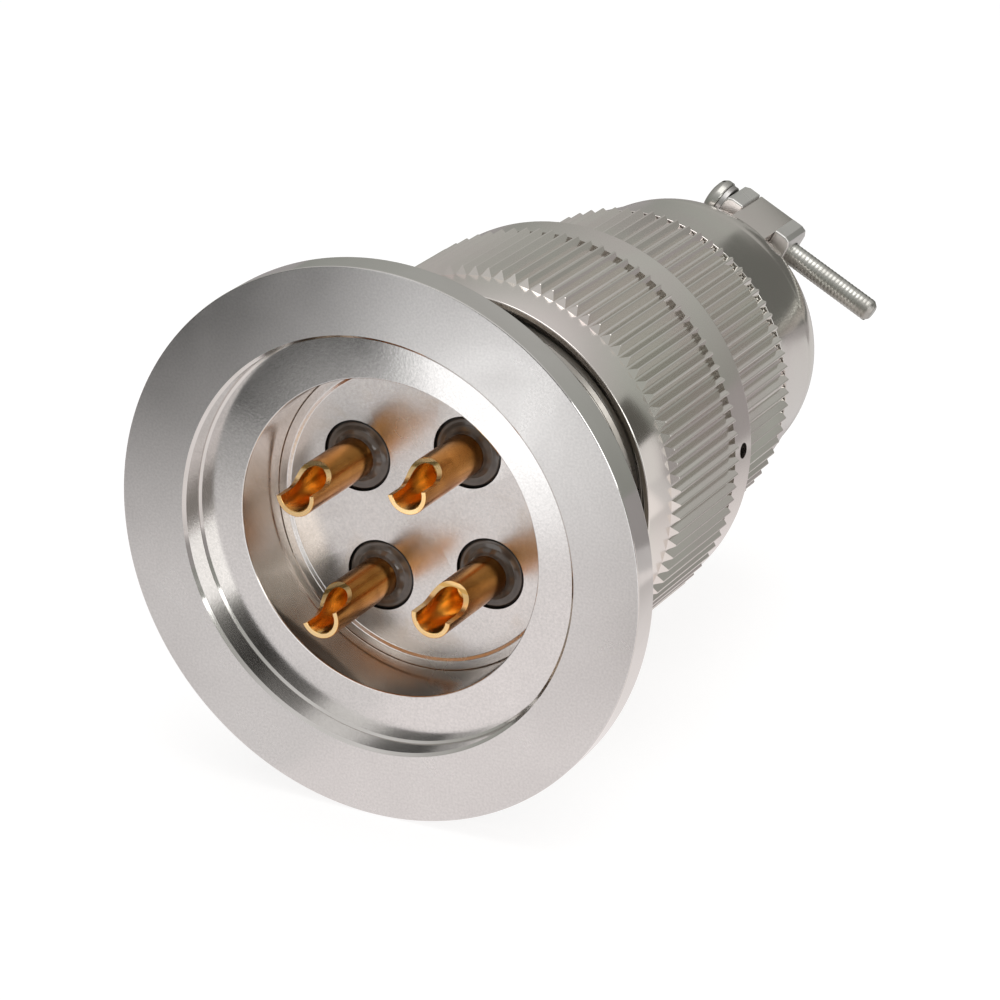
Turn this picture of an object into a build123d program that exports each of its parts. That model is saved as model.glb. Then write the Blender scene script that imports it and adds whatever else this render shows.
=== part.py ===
"""A four-pin glass sealed feedthrough on a clamped vacuum flange, mated with its circular plug.

The sealing face of the flange lies in the plane Y = 0 and its centre is the origin. The vacuum side
and the solder cups point to -Y, the plug and the cable outlet to +Y, and +Z is up. Everything turned
is drawn as a (radius, depth) outline, depth being the distance from the sealing face along +Y.
"""

import os
from math import cos, pi, radians, sin, tan

from build123d import *

os.makedirs("parts", exist_ok=True)

# Clearances
fit_gap = 0.02  # radial gap of pieces that are welded, fused or pressed together
running_gap = 0.05  # radial gap of pieces that slide or turn in each other
thread_gap = 0.1  # radial gap between the plain cylinders that stand for screw threads
end_play = 0.1  # axial gap beside a piece that turns
edge_break = 0.3  # small bevel on turned edges

# Vacuum flange
flange_r = 27.5
rim_width = 3.1
clamp_taper = 15.0  # degrees, back of the rim
neck_step = 0.6  # the neck stands this much proud of the receptacle's thread
neck_wall = 2.36
recess_r = 20.6
recess_depth = 2.8
header_setback = 9.6  # sealing face to header face

# Header and threaded shell of the receptacle
header_thickness = 5.4
header_step = 0.9  # width of the raised weld ring round the header face
header_step_height = 0.25
shoulder_width = 1.2
shell_thread_r = 17.6
shell_wall = 2.6
shell_length = 17.0
keyway_width = 3.0
keyway_depth = 1.1
key_side_gap = 0.2
key_top_gap = 0.2

# Pins and their glass
pin_count = 4
pin_margin = 4.62  # from the pins' circle out to the wall of the plug's bore
pin_first_angle = 56.5  # degrees from +X towards +Z
pin_r = 2.05
cup_reach = 2.0  # how far the cups stand out of the sealing face
cup_bore_r = 1.55
cup_depth = 8.0
cup_cut = 4.4  # length of the cut-away side
cup_cut_flat = 2.0  # the straight part of that cut
cup_turns = [14.0, 8.0, 27.0, -8.0]  # degrees, how each opening leans from straight up
pin_entry_gap = 0.1  # radial gap of the small entries in the plug
contact_r = 1.75
contact_reach = 14.0  # from the header's back to the contact's tip
contact_tip_round = 1.0
glass_r = 3.6
glass_sink = 0.15  # the glass face lies this far below the metal
meniscus_width = 0.6
meniscus_height = 0.7
gasket_thickness = 2.0
gasket_width = 2.4

# Plug
nose_wall = 1.75
front_lip = 0.5  # width of the lip that stops the insulators
front_lip_length = 0.8
ring_setback = 1.6  # receptacle end to nut retaining ring
nut_ring_width = 1.0
nut_ring_depth = 0.75  # depth of the ring's groove in the nut
nut_ring_height = 1.9
collar_width = 2.0
washer_thickness = 0.7
hub_step = 1.3  # rear thread to hub
rear_thread_wall = 1.4
rear_thread_length = 8.3
socket_r = 2.6
socket_bore_depth = 12.0
socket_length = 25.0
socket_cup_length = 5.0
front_insulator_length = 15.0
rear_insulator_length = 9.5
insulator_ring_width = 1.8
insulator_ring_wall = 1.6

# Coupling nut
nut_lip_wall = 1.76
nut_mouth_wall = 0.55
nut_mouth_depth = 1.6
nut_standoff = 2.8  # receptacle shoulder to nut lip
nut_lip_length = 3.6
nut_wall = 2.35  # thread to the bottom of the knurl
knurl_depth = 0.75
knurl_run_in = 1.2
knurl_run_out = 0.6
knurl_teeth = 92
tooth_flat = 0.1  # flat top of a knurl tooth, as a share of its pitch
band_rise = 0.35  # above the bottom of the knurl
band_width = 3.8
web_width = 3.0
wire_hole_r = 0.8
wire_hole_depth = 3.0
wire_hole_angle = 1.0  # degrees from +X towards +Z

# Union nut at the tail
union_gap = 0.4
union_wall = 1.95
union_depth = 0.65
union_teeth = 76
union_run = 0.4
union_web_width = 2.9
union_length = 16.0
union_ring_width = 1.1
union_ring_depth = 0.75
union_ring_height = 1.9

# Tail with its ears
bell_neck_play = 0.3  # radial gap between the tail's neck and the plug's thread
bell_neck_wall = 1.9
bell_front_step = 0.4  # union nut's teeth down to the tail
bell_cone_drop = 1.55
bell_cone_length = 9.2
bell_shoulder_drop = 1.75
bell_shoulder_length = 4.5
bell_edge = 0.4
bell_wall = 3.0
ear_half = 2.15
ear_rise = 1.3  # above the end of the tail
ear_root = 3.3  # sunk into the end of the tail
ear_overhang = 1.2  # past the saddles
ear_rounding = 1.0

# Cable clamp
clamp_lean = 28.6  # degrees, how far the screws point down from +X
saddle_gap = 0.3
saddle_width = 4.6
saddle_thickness = 2.15
saddle_rise = 0.3  # above the ears
saddle_bite = 0.55  # how much nearer than the outlet's wall the arches come
saddle_wall = 2.2
saddle_rounding = 0.8
screw_inset = 0.7  # end of the tail in to the screw axis
screw_r = 1.25
screw_hole_r = 1.45
screw_head_r = 2.4
screw_head_height = 1.5
screw_head_rounding = 0.6
screw_slot_width = 0.6
screw_slot_depth = 0.7
screw_tails = [11.0, 8.0]  # how far the upper and the lower screw stand out of the fixed saddle
screw_tip_bevel = 0.35
washer_r = 2.25
lock_washer_thickness = 0.6
split_width = 0.5
ring_split_width = 2.0

# Cable bush
bush_wall = 2.3
bush_flange_play = 3.2  # radial gap between the bush's flange and the tail's bore
bush_flange_step = 1.7
bush_flange_width = 2.0
bush_tail_wall = 1.35
bush_tail_length = 6.0

# Places along the axis
header_back = header_setback + header_thickness
shoulder_back = header_back + shoulder_width
shell_end = header_back + shell_length
nose_front = header_back + gasket_thickness
nut_ring_front = shell_end + ring_setback
nut_ring_back = nut_ring_front + nut_ring_width
collar_front = nut_ring_back + end_play
collar_back = collar_front + collar_width
web_front = collar_back + washer_thickness + end_play
nut_back = web_front + web_width
nut_front = shoulder_back + nut_standoff
knurl_front = nut_front + nut_lip_length
band_front = nut_back - band_width
union_front = nut_back + union_gap
plug_back = union_front + rear_thread_length
union_back = union_front + union_length
union_web_front = union_back - union_web_width
union_ring_back = union_web_front - end_play
union_ring_front = union_ring_back - union_ring_width
bell_front = union_back + end_play
cone_back = bell_front + bell_cone_length
bell_back = cone_back + bell_shoulder_length
saddle_front = bell_back + saddle_gap
saddle_back = saddle_front + saddle_width
screw_depth = (saddle_front + saddle_back) / 2
ear_back = saddle_back + ear_overhang

# Radii that follow from their neighbours, from the receptacle's thread to the tail
neck_r = shell_thread_r + neck_step
flange_bore_r = neck_r - neck_wall
header_r = flange_bore_r - fit_gap
shell_bore_r = shell_thread_r - shell_wall
keyway_r = shell_bore_r + keyway_depth
nose_r = shell_bore_r - running_gap
insert_r = nose_r - nose_wall
insert_fit_r = insert_r - fit_gap
pin_pitch_r = insert_r - pin_margin
socket_hole_r = socket_r + running_gap
rear_thread_r = insert_r + rear_thread_wall
hub_r = rear_thread_r + hub_step
nut_bore_r = shell_thread_r + thread_gap
nut_ring_groove_r = nut_bore_r + nut_ring_depth
collar_r = nut_bore_r - thread_gap
nut_lip_r = nut_bore_r + nut_lip_wall
knurl_root_r = nut_bore_r + nut_wall
knurl_tip_r = knurl_root_r + knurl_depth
band_r = knurl_root_r + band_rise
union_thread_r = rear_thread_r + thread_gap
union_root_r = union_thread_r + union_wall
union_tip_r = union_root_r + union_depth
bell_neck_r = rear_thread_r - bell_neck_play
bell_bore_r = bell_neck_r - bell_neck_wall
bell_front_r = union_tip_r - bell_front_step
bell_cone_r = bell_front_r - bell_cone_drop
bell_back_r = bell_cone_r - bell_shoulder_drop
union_ring_r = bell_neck_r - union_ring_depth + union_ring_height
union_cavity_r = union_ring_r + thread_gap
bush_flange_r = bell_bore_r - bush_flange_play
outlet_r = bush_flange_r - bush_flange_step
bush_bore_r = outlet_r - bush_wall
ear_inner = bell_back_r - ear_root
ear_outer = bell_back_r + ear_rise
screw_offset = bell_back_r - screw_inset  # connector axis to screw axis
saddle_outer = ear_outer + saddle_rise
saddle_inner_r = outlet_r - saddle_bite

# The pins stand on a circle
pin_places = [
    (pin_pitch_r * cos(radians(angle)), pin_pitch_r * sin(radians(angle)))
    for angle in [pin_first_angle + 360 / pin_count * n for n in range(pin_count)]
]

# The clamp's own directions: along the screws, and from the axis to the screws
screw_way = Vector(cos(radians(clamp_lean)), 0, -sin(radians(clamp_lean)))
screw_side = Vector(sin(radians(clamp_lean)), 0, cos(radians(clamp_lean)))


def across(depth, way=(1, 0, 0)):
    """The plane across the axis at a depth, seen from the vacuum side."""
    return Plane(origin=(0, depth, 0), x_dir=way, z_dir=(0, -1, 0))


def turn(*outline, mode=Mode.ADD):
    """Turn a closed (radius, depth) outline about the connector's axis in the open part."""
    with BuildSketch() as profile:
        with BuildLine():
            Polyline(*outline, close=True)
        make_face()
    revolve(profile.sketch, axis=Axis.Y, mode=mode)


def cut_knurl(tip_r, depth, teeth, front, back):
    """Cut V grooves along the axis into the open part, a tooth standing between each two."""
    spread = pi * tip_r / teeth * (1 - tooth_flat) * (depth + fit_gap) / depth
    with BuildSketch(across(front)) as grooves:
        with PolarLocations(tip_r, teeth):
            Polygon((-depth, 0), (fit_gap, -spread), (fit_gap, spread), align=None)
    extrude(grooves.sketch, amount=front - back, mode=Mode.SUBTRACT)


def cut_split(depth, thickness, radius, width):
    """Cut the gap of a split ring at its lower side."""
    with BuildSketch(across(depth)) as gap:
        with Locations((0, -radius)):
            Rectangle(width, radius)
    extrude(gap.sketch, amount=-thickness, mode=Mode.SUBTRACT)


def save(part, name):
    part.label = name
    export_step(part, f"parts/{name}.step")


# Vacuum flange
with BuildPart() as vacuum_flange:
    taper_rise = (flange_r - neck_r) * tan(radians(clamp_taper))
    turn(
        (recess_r + edge_break, 0),
        (flange_r - edge_break, 0),
        (flange_r, edge_break),
        (flange_r, rim_width),
        (neck_r, rim_width + taper_rise),
        (neck_r, header_back),
        (flange_bore_r, header_back),
        (flange_bore_r, recess_depth),
        (recess_r, recess_depth),
        (recess_r, edge_break),
    )
save(vacuum_flange.part, "vacuum_flange")

# Receptacle: header disc, shoulder against the flange neck and threaded shell
with BuildPart() as receptacle_shell:
    turn(
        (0, header_setback + header_step_height),
        (header_r - header_step, header_setback + header_step_height),
        (header_r - header_step, header_setback),
        (header_r, header_setback),
        (header_r, header_back),
        (neck_r, header_back),
        (neck_r, shoulder_back),
        (shell_thread_r, shoulder_back),
        (shell_thread_r, shell_end - edge_break),
        (shell_thread_r - edge_break, shell_end),
        (shell_bore_r, shell_end),
        (shell_bore_r, header_back),
        (0, header_back),
    )
    with BuildSketch(across(header_setback)):
        with PolarLocations(pin_pitch_r, pin_count, pin_first_angle):
            Circle(glass_r)
    extrude(amount=-header_thickness, mode=Mode.SUBTRACT)
    with BuildSketch(across(nose_front)):
        with Locations((0, shell_bore_r)):
            Rectangle(keyway_width, 2 * keyway_depth)
    extrude(amount=nose_front - shell_end, mode=Mode.SUBTRACT)
save(receptacle_shell.part, "receptacle_shell")

# Glass beads, each with a meniscus that climbs its pin
glass_front = header_setback + header_step_height + glass_sink
for number, (x, z) in enumerate(pin_places, 1):
    with BuildPart() as glass_seal:
        with BuildSketch(Plane((x, 0, z))):
            with BuildLine():
                Polyline(
                    (pin_r + fit_gap, glass_front - meniscus_height),
                    (pin_r + meniscus_width, glass_front),
                    (glass_r - fit_gap, glass_front),
                    (glass_r - fit_gap, header_back - glass_sink),
                    (pin_r + fit_gap, header_back - glass_sink),
                    close=True,
                )
            make_face()
        revolve(axis=Axis((x, 0, z), (0, 1, 0)))
    save(glass_seal.part, f"glass_seal_{number}")

# Contact pins: a drilled solder cup with one side milled away, and a round-ended contact
contact_tip = header_back + contact_reach
for number, ((x, z), lean) in enumerate(zip(pin_places, cup_turns), 1):
    with BuildPart() as contact_pin:
        with BuildSketch(Plane((x, 0, z))):
            with BuildLine():
                Polyline(
                    (0, -cup_reach),
                    (pin_r, -cup_reach),
                    (pin_r, header_back),
                    (contact_r, header_back),
                    (contact_r, contact_tip),
                    (0, contact_tip),
                    close=True,
                )
            make_face()
        revolve(axis=Axis((x, 0, z), (0, 1, 0)))
        fillet(contact_pin.edges().sort_by(Axis.Y)[-1], contact_tip_round)
        with BuildSketch(Plane(origin=(x, -cup_reach, z), x_dir=(1, 0, 0), z_dir=(0, -1, 0))):
            Circle(cup_bore_r)
        extrude(amount=-cup_depth, mode=Mode.SUBTRACT)
        side = Plane(
            origin=(x, -cup_reach, z),
            x_dir=(0, 1, 0),
            z_dir=(cos(radians(lean)), 0, sin(radians(lean))),
        )
        with BuildSketch(side):
            with BuildLine():
                floor = Line((-edge_break, 0), (cup_cut_flat, 0))
                rise = TangentArc(floor @ 1, (cup_cut, pin_r + edge_break), tangent=floor % 1)
                Polyline(rise @ 1, (-edge_break, pin_r + edge_break), floor @ 0)
            make_face()
        extrude(amount=pin_r + edge_break, both=True, mode=Mode.SUBTRACT)
    save(contact_pin.part, f"contact_pin_{number}")

# Rubber ring at the bottom of the shell
with BuildPart() as interface_gasket:
    with BuildSketch(across(header_back)):
        Circle(shell_bore_r - running_gap)
        Circle(shell_bore_r - running_gap - gasket_width, mode=Mode.SUBTRACT)
    extrude(amount=-gasket_thickness)
save(interface_gasket.part, "interface_gasket")

# Plug barrel: keyed nose, collar, hub for the coupling nut and rear thread
key_front = nose_front + keyway_depth
with BuildPart() as plug_shell:
    turn(
        (insert_r - front_lip, nose_front),
        (nose_r - edge_break, nose_front),
        (nose_r, nose_front + edge_break),
        (nose_r, collar_front),
        (collar_r, collar_front),
        (collar_r, collar_back),
        (hub_r, collar_back),
        (hub_r, union_front),
        (rear_thread_r, union_front),
        (rear_thread_r, plug_back - edge_break),
        (rear_thread_r - edge_break, plug_back),
        (insert_r, plug_back),
        (insert_r, nose_front + front_lip_length),
        (insert_r - front_lip, nose_front + front_lip_length),
    )
    with BuildSketch(across(key_front)):
        key_top = keyway_r - key_top_gap
        with Locations((0, (nose_r - edge_break + key_top) / 2)):
            Rectangle(keyway_width - 2 * key_side_gap, key_top - nose_r + edge_break)
    extrude(amount=key_front - collar_front)
save(plug_shell.part, "plug_shell")

# Hard front insulator, with a small entry for each pin
insulator_front = nose_front + front_lip_length
insulator_mid = insulator_front + front_insulator_length
insulator_back = insulator_mid + rear_insulator_length
socket_front = insulator_front + front_lip_length
with BuildPart() as front_insulator:
    with BuildSketch(across(insulator_front)):
        Circle(insert_fit_r)
    extrude(amount=-front_insulator_length)
    with BuildSketch(across(insulator_front)):
        with PolarLocations(pin_pitch_r, pin_count, pin_first_angle):
            Circle(contact_r + pin_entry_gap)
    extrude(amount=-front_insulator_length, mode=Mode.SUBTRACT)
    with BuildSketch(across(socket_front)):
        with PolarLocations(pin_pitch_r, pin_count, pin_first_angle):
            Circle(socket_hole_r)
    extrude(amount=socket_front - insulator_mid, mode=Mode.SUBTRACT)
save(front_insulator.part, "front_insulator")

# Soft rear insulator
with BuildPart() as rear_insulator:
    with BuildSketch(across(insulator_mid)):
        Circle(insert_fit_r)
        with PolarLocations(pin_pitch_r, pin_count, pin_first_angle):
            Circle(socket_hole_r, mode=Mode.SUBTRACT)
    extrude(amount=-rear_insulator_length)
save(rear_insulator.part, "rear_insulator")

# Ring that keeps both insulators in
with BuildPart() as insulator_retaining_ring:
    with BuildSketch(across(insulator_back)):
        Circle(insert_fit_r)
        Circle(insert_fit_r - insulator_ring_wall, mode=Mode.SUBTRACT)
    extrude(amount=-insulator_ring_width)
save(insulator_retaining_ring.part, "insulator_retaining_ring")

# Socket contacts: bored for the pins in front, cupped for the wires behind
socket_back = socket_front + socket_length
for number, (x, z) in enumerate(pin_places, 1):
    with BuildPart() as socket_contact:
        with BuildSketch(Plane((x, 0, z))):
            with BuildLine():
                Polyline(
                    (contact_r + running_gap, socket_front),
                    (socket_r, socket_front),
                    (socket_r, socket_back),
                    (pin_r, socket_back),
                    (pin_r, socket_back + socket_cup_length),
                    (cup_bore_r, socket_back + socket_cup_length),
                    (cup_bore_r, socket_back),
                    (0, socket_back),
                    (0, socket_front + socket_bore_depth),
                    (contact_r + running_gap, socket_front + socket_bore_depth),
                    close=True,
                )
            make_face()
        revolve(axis=Axis((x, 0, z), (0, 1, 0)))
    save(socket_contact.part, f"socket_contact_{number}")

# Plain washer between the collar and the coupling nut
with BuildPart() as thrust_washer:
    with BuildSketch(across(collar_back)):
        Circle(collar_r)
        Circle(hub_r + running_gap, mode=Mode.SUBTRACT)
    extrude(amount=-washer_thickness)
save(thrust_washer.part, "thrust_washer")

# Coupling nut: thin lip, knurl, rear band with a hole for locking wire
with BuildPart() as coupling_nut:
    turn(
        (nut_lip_r - nut_mouth_wall, nut_front),
        (nut_lip_r, nut_front),
        (knurl_root_r, knurl_front),
        (knurl_tip_r, knurl_front + knurl_run_in),
        (knurl_tip_r, band_front - knurl_run_out),
        (band_r, band_front),
        (band_r, nut_back - edge_break),
        (band_r - edge_break, nut_back),
        (hub_r + running_gap, nut_back),
        (hub_r + running_gap, web_front),
        (nut_bore_r, web_front),
        (nut_bore_r, nut_ring_back),
        (nut_ring_groove_r, nut_ring_back),
        (nut_ring_groove_r, nut_ring_front),
        (nut_bore_r, nut_ring_front),
        (nut_bore_r, nut_front + nut_mouth_depth + edge_break),
        (nut_bore_r + edge_break, nut_front + nut_mouth_depth),
        (nut_lip_r - nut_mouth_wall, nut_front + nut_mouth_depth),
    )
    cut_knurl(knurl_tip_r, knurl_depth - fit_gap, knurl_teeth, knurl_front, band_front)
    wire_way = Vector(cos(radians(wire_hole_angle)), 0, sin(radians(wire_hole_angle)))
    wire_place = Vector(0, (band_front + nut_back) / 2, 0) + wire_way * (band_r + edge_break)
    with BuildSketch(Plane(origin=wire_place, x_dir=(0, 1, 0), z_dir=wire_way)):
        Circle(wire_hole_r)
    extrude(amount=-wire_hole_depth, mode=Mode.SUBTRACT)
save(coupling_nut.part, "coupling_nut")

# Split ring that keeps the nut on the plug
with BuildPart() as nut_retaining_ring:
    nut_ring_r = nut_ring_groove_r - fit_gap
    with BuildSketch(across(nut_ring_front)):
        Circle(nut_ring_r)
        Circle(nut_ring_r - nut_ring_height, mode=Mode.SUBTRACT)
    extrude(amount=-nut_ring_width)
    cut_split(nut_ring_front, nut_ring_width, nut_ring_r, ring_split_width)
save(nut_retaining_ring.part, "nut_retaining_ring")

# Union nut: the same knurl, smaller
with BuildPart() as union_nut:
    turn(
        (union_thread_r + edge_break, union_front),
        (union_root_r, union_front),
        (union_tip_r, union_front + union_run),
        (union_tip_r, union_back - union_run),
        (union_root_r, union_back),
        (bell_neck_r + running_gap, union_back),
        (bell_neck_r + running_gap, union_web_front),
        (union_cavity_r, union_web_front),
        (union_cavity_r, plug_back),
        (union_thread_r, plug_back),
        (union_thread_r, union_front + edge_break),
    )
    cut_knurl(union_tip_r, union_depth - fit_gap, union_teeth, union_front, union_back)
save(union_nut.part, "union_nut")

# Split ring that keeps the union nut on the tail
with BuildPart() as union_retaining_ring:
    with BuildSketch(across(union_ring_front)):
        Circle(union_ring_r)
        Circle(union_ring_r - union_ring_height + fit_gap, mode=Mode.SUBTRACT)
    extrude(amount=-union_ring_width)
    cut_split(union_ring_front, union_ring_width, union_ring_r, ring_split_width)
save(union_retaining_ring.part, "union_retaining_ring")

# Tail: hollow tapered bell, a rounded shoulder and two ears for the clamp
with BuildPart() as endbell:
    groove_r = bell_neck_r - union_ring_depth
    with BuildSketch():
        with BuildLine():
            cone = Line((bell_front_r, bell_front), (bell_cone_r, cone_back))
            shoulder = TangentArc(cone @ 1, (bell_back_r, bell_back - bell_edge), tangent=cone % 1)
            Polyline(
                shoulder @ 1,
                (bell_back_r - bell_edge, bell_back),
                (outlet_r, bell_back),
                (outlet_r, bell_back - bell_wall),
                (bell_bore_r - bell_wall / 2, bell_back - bell_wall),
                (bell_bore_r, cone_back - bell_wall),
                (bell_bore_r, plug_back),
                (bell_neck_r, plug_back),
                (bell_neck_r, union_ring_front),
                (groove_r, union_ring_front),
                (groove_r, union_ring_back),
                (bell_neck_r, union_ring_back),
                (bell_neck_r, bell_front),
                cone @ 0,
            )
        make_face()
    revolve(axis=Axis.Y)
    ear_height = ear_outer - ear_inner
    for side in (1, -1):
        with BuildSketch(across(cone_back, screw_way)):
            with Locations((0, side * (ear_inner + ear_height / 2))):
                Rectangle(2 * ear_half, ear_height)
        extrude(amount=cone_back - ear_back)
    corners = endbell.faces().sort_by(Axis.Y)[-2:].edges().filter_by(
        lambda edge: abs(edge.center().dot(screw_side)) > ear_outer - edge_break
        or abs(abs(edge.center().dot(screw_way)) - ear_half) < edge_break
    )
    fillet(corners, ear_rounding)
    clamp_side = Plane(origin=(0, screw_depth, 0), x_dir=(0, 1, 0), z_dir=screw_way)
    with BuildSketch(clamp_side):
        with Locations((0, screw_offset), (0, -screw_offset)):
            Circle(screw_hole_r)
    extrude(amount=ear_outer, both=True, mode=Mode.SUBTRACT)
save(endbell.part, "endbell")


def saddle(side, hole_r):
    """One clamp bar: a lug beside each ear and an arch over the cable between them."""
    with BuildSketch(across(saddle_front, screw_way * side)) as bar:
        with Locations((ear_half + saddle_thickness / 2, 0)):
            Rectangle(saddle_thickness, 2 * saddle_outer)
        fillet(bar.vertices().group_by(Axis.X)[-1], saddle_rounding)
        Circle(saddle_inner_r + saddle_wall)
        with Locations((ear_half - saddle_outer, 0)):
            Rectangle(2 * saddle_outer, 2 * saddle_outer, mode=Mode.SUBTRACT)
        Circle(saddle_inner_r, mode=Mode.SUBTRACT)
    extrude(bar.sketch, amount=-saddle_width)
    with BuildSketch(Plane(origin=(0, screw_depth, 0), x_dir=(0, 1, 0), z_dir=screw_way)) as holes:
        with Locations((0, screw_offset), (0, -screw_offset)):
            Circle(hole_r)
    extrude(holes.sketch, amount=saddle_outer, both=True, mode=Mode.SUBTRACT)


# Threaded clamp bar on the side where the screws come out
with BuildPart() as fixed_saddle:
    saddle(1, screw_r + running_gap)
save(fixed_saddle.part, "fixed_saddle")

# Plain clamp bar under the screw heads
with BuildPart() as moving_saddle:
    saddle(-1, screw_hole_r)
save(moving_saddle.part, "moving_saddle")

# Screws and their split washers, one pair above the axis and one below
saddle_face = ear_half + saddle_thickness
head_seat = saddle_face + lock_washer_thickness
for number, (side, tail) in enumerate(zip((1, -1), screw_tails), 1):
    seat = screw_side * (side * screw_offset) + Vector(0, screw_depth, 0)
    with BuildPart() as lock_washer:
        with BuildSketch(Plane(origin=seat - screw_way * head_seat, x_dir=(0, 1, 0), z_dir=screw_way)):
            Circle(washer_r)
            Circle(screw_hole_r, mode=Mode.SUBTRACT)
            with Locations((-washer_r, 0)):
                Rectangle(2 * washer_r, split_width, mode=Mode.SUBTRACT)
        extrude(amount=lock_washer_thickness)
    save(lock_washer.part, f"lock_washer_{number}")

    with BuildPart() as clamp_screw:
        with BuildSketch(Plane(origin=seat - screw_way * head_seat, x_dir=(0, 1, 0), z_dir=screw_way)):
            Circle(screw_r)
        extrude(amount=head_seat + saddle_face + tail)
        chamfer(clamp_screw.edges().sort_by(Axis(seat, screw_way))[-1], screw_tip_bevel)
        head = Plane(origin=seat - screw_way * head_seat, x_dir=(0, 1, 0), z_dir=-screw_way)
        with BuildSketch(head):
            Circle(screw_head_r)
        extrude(amount=screw_head_height)
        fillet(clamp_screw.edges().sort_by(Axis(seat, screw_way))[0], screw_head_rounding)
        with BuildSketch(head.offset(screw_head_height)):
            Rectangle(screw_slot_width, 2 * screw_head_r)
        extrude(amount=-screw_slot_depth, mode=Mode.SUBTRACT)
    save(clamp_screw.part, f"clamp_screw_{number}")

# Rubber bush in the cable outlet, squeezed on the cable by the saddles
bush_back = bell_back - bell_wall
with BuildPart() as cable_bush:
    turn(
        (bush_bore_r, bush_back - bush_flange_width),
        (bush_flange_r, bush_back - bush_flange_width),
        (bush_flange_r, bush_back),
        (outlet_r - fit_gap, bush_back),
        (outlet_r - fit_gap, bell_back),
        (bush_bore_r + bush_tail_wall, bell_back),
        (bush_bore_r + bush_tail_wall, bell_back + bush_tail_length),
        (bush_bore_r, bell_back + bush_tail_length),
    )
save(cable_bush.part, "cable_bush")
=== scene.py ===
# %% [markdown]
# # A glass sealed connector
#
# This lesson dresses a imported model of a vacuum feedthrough: a steel flange with four gold pins
# sealed in glass, and a knurled plug screwed on behind it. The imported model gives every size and
# place. The cells below swap its plain solids for finely turned pieces in the same places, give
# them their metals, and light them as on a studio table.

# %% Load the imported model
import math
from math import cos, pi, radians, sin

import bmesh
import bpy
from mathutils import Matrix, Vector


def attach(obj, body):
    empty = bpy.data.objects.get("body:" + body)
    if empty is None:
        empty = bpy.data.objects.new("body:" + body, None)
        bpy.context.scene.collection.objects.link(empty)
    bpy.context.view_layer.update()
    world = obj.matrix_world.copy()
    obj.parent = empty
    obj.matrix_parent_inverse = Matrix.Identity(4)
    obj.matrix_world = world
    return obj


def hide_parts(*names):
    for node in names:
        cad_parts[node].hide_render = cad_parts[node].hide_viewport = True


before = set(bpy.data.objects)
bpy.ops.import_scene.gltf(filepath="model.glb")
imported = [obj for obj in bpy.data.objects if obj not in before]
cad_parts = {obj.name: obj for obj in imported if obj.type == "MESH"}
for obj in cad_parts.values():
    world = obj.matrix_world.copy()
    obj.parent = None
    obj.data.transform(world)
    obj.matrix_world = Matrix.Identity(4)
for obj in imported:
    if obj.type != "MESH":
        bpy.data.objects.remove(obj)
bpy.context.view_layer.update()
mm = 0.001

# %% [markdown]
# ## Camera
#
# The photograph was taken from the left front and a little above, through a fairly long lens. A
# camera that only turns about the upright and tips down keeps the picture level, so two angles
# are enough: how far it swings round, and how far it looks down. The place and the lens were
# found by matching circles of known size, such as the flange's rim.

# %% Place the camera
camera_swing = 0.481
camera_dip = 0.379
camera = bpy.data.objects.new("camera", bpy.data.cameras.new("camera"))
bpy.context.scene.collection.objects.link(camera)
camera.location = (170.08 * mm, -300.30 * mm, 142.34 * mm)
camera.rotation_euler = (pi / 2 - camera_dip, 0, camera_swing)
camera.data.sensor_width = 36
camera.data.lens = 144
camera.data.clip_start = 0.005
bpy.context.scene.camera = camera
print("camera", [round(value / mm) for value in camera.location], "mm")

# %% [markdown]
# ## Table, light tent and cards
#
# Polished metal has hardly any colour of its own: it shows the room. The room here is a light
# tent in shades of grey, pale overhead and darker near the horizon, over a pale table that fades
# with distance. The tent is painted in the world by height above the horizon, so every view of
# the object gets the same light.
#
# Cards stand round the object and sheets lie on the table, as a photographer sets them. Only
# reflections see them. The cards in front put the dark and the bright sweep on the flange, the
# recess and the header. The sheets light the nuts from below. The door card darkens the coupling
# nut's lip, the sill under it gives that lip its sharp bright edge, and the back card darkens the
# tail.

# %% Helpers for shader nodes
def shader_nodes(owner):
    """Empty the node tree of a material or world, and give back its nodes and links."""
    owner.use_nodes = True
    owner.node_tree.nodes.clear()
    return owner.node_tree.nodes, owner.node_tree.links


def math_node(nodes, operation, second=None, kind="ShaderNodeMath"):
    """A math node, with its second input set if a value is given."""
    node = nodes.new(kind)
    node.operation = operation
    if second is not None:
        node.inputs[1].default_value = second
    return node


def vector_node(nodes, operation, second=None):
    """A vector math node, with its second input set if a value is given."""
    return math_node(nodes, operation, second, kind="ShaderNodeVectorMath")


def range_node(nodes, from_range=(0, 1), to_range=(0, 1), smooth=False):
    """A node that maps one range of values on another."""
    node = nodes.new("ShaderNodeMapRange")
    if smooth:
        node.interpolation_type = "SMOOTHSTEP"
    for end, value in zip(("From Min", "From Max", "To Min", "To Max"), (*from_range, *to_range)):
        node.inputs[end].default_value = value
    return node


def tone_mix(nodes, **tones):
    """A node that mixes two colours, A and B, by its Factor."""
    node = nodes.new("ShaderNodeMix")
    node.data_type = "RGBA"
    for label, tone in tones.items():
        node.inputs[label].default_value = (*tone, 1)
    return node


def tone_ramp(nodes, steps):
    """A node that turns a value into a colour by steps of (value, colour)."""
    node = nodes.new("ShaderNodeValToRGB")
    ends = node.color_ramp.elements
    for end, (value, tone) in zip((ends[0], ends[1]), (steps[0], steps[-1])):
        end.position = value
        end.color = (*tone, 1)
    for value, tone in steps[1:-1]:
        ends.new(value).color = (*tone, 1)
    return node


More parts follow.
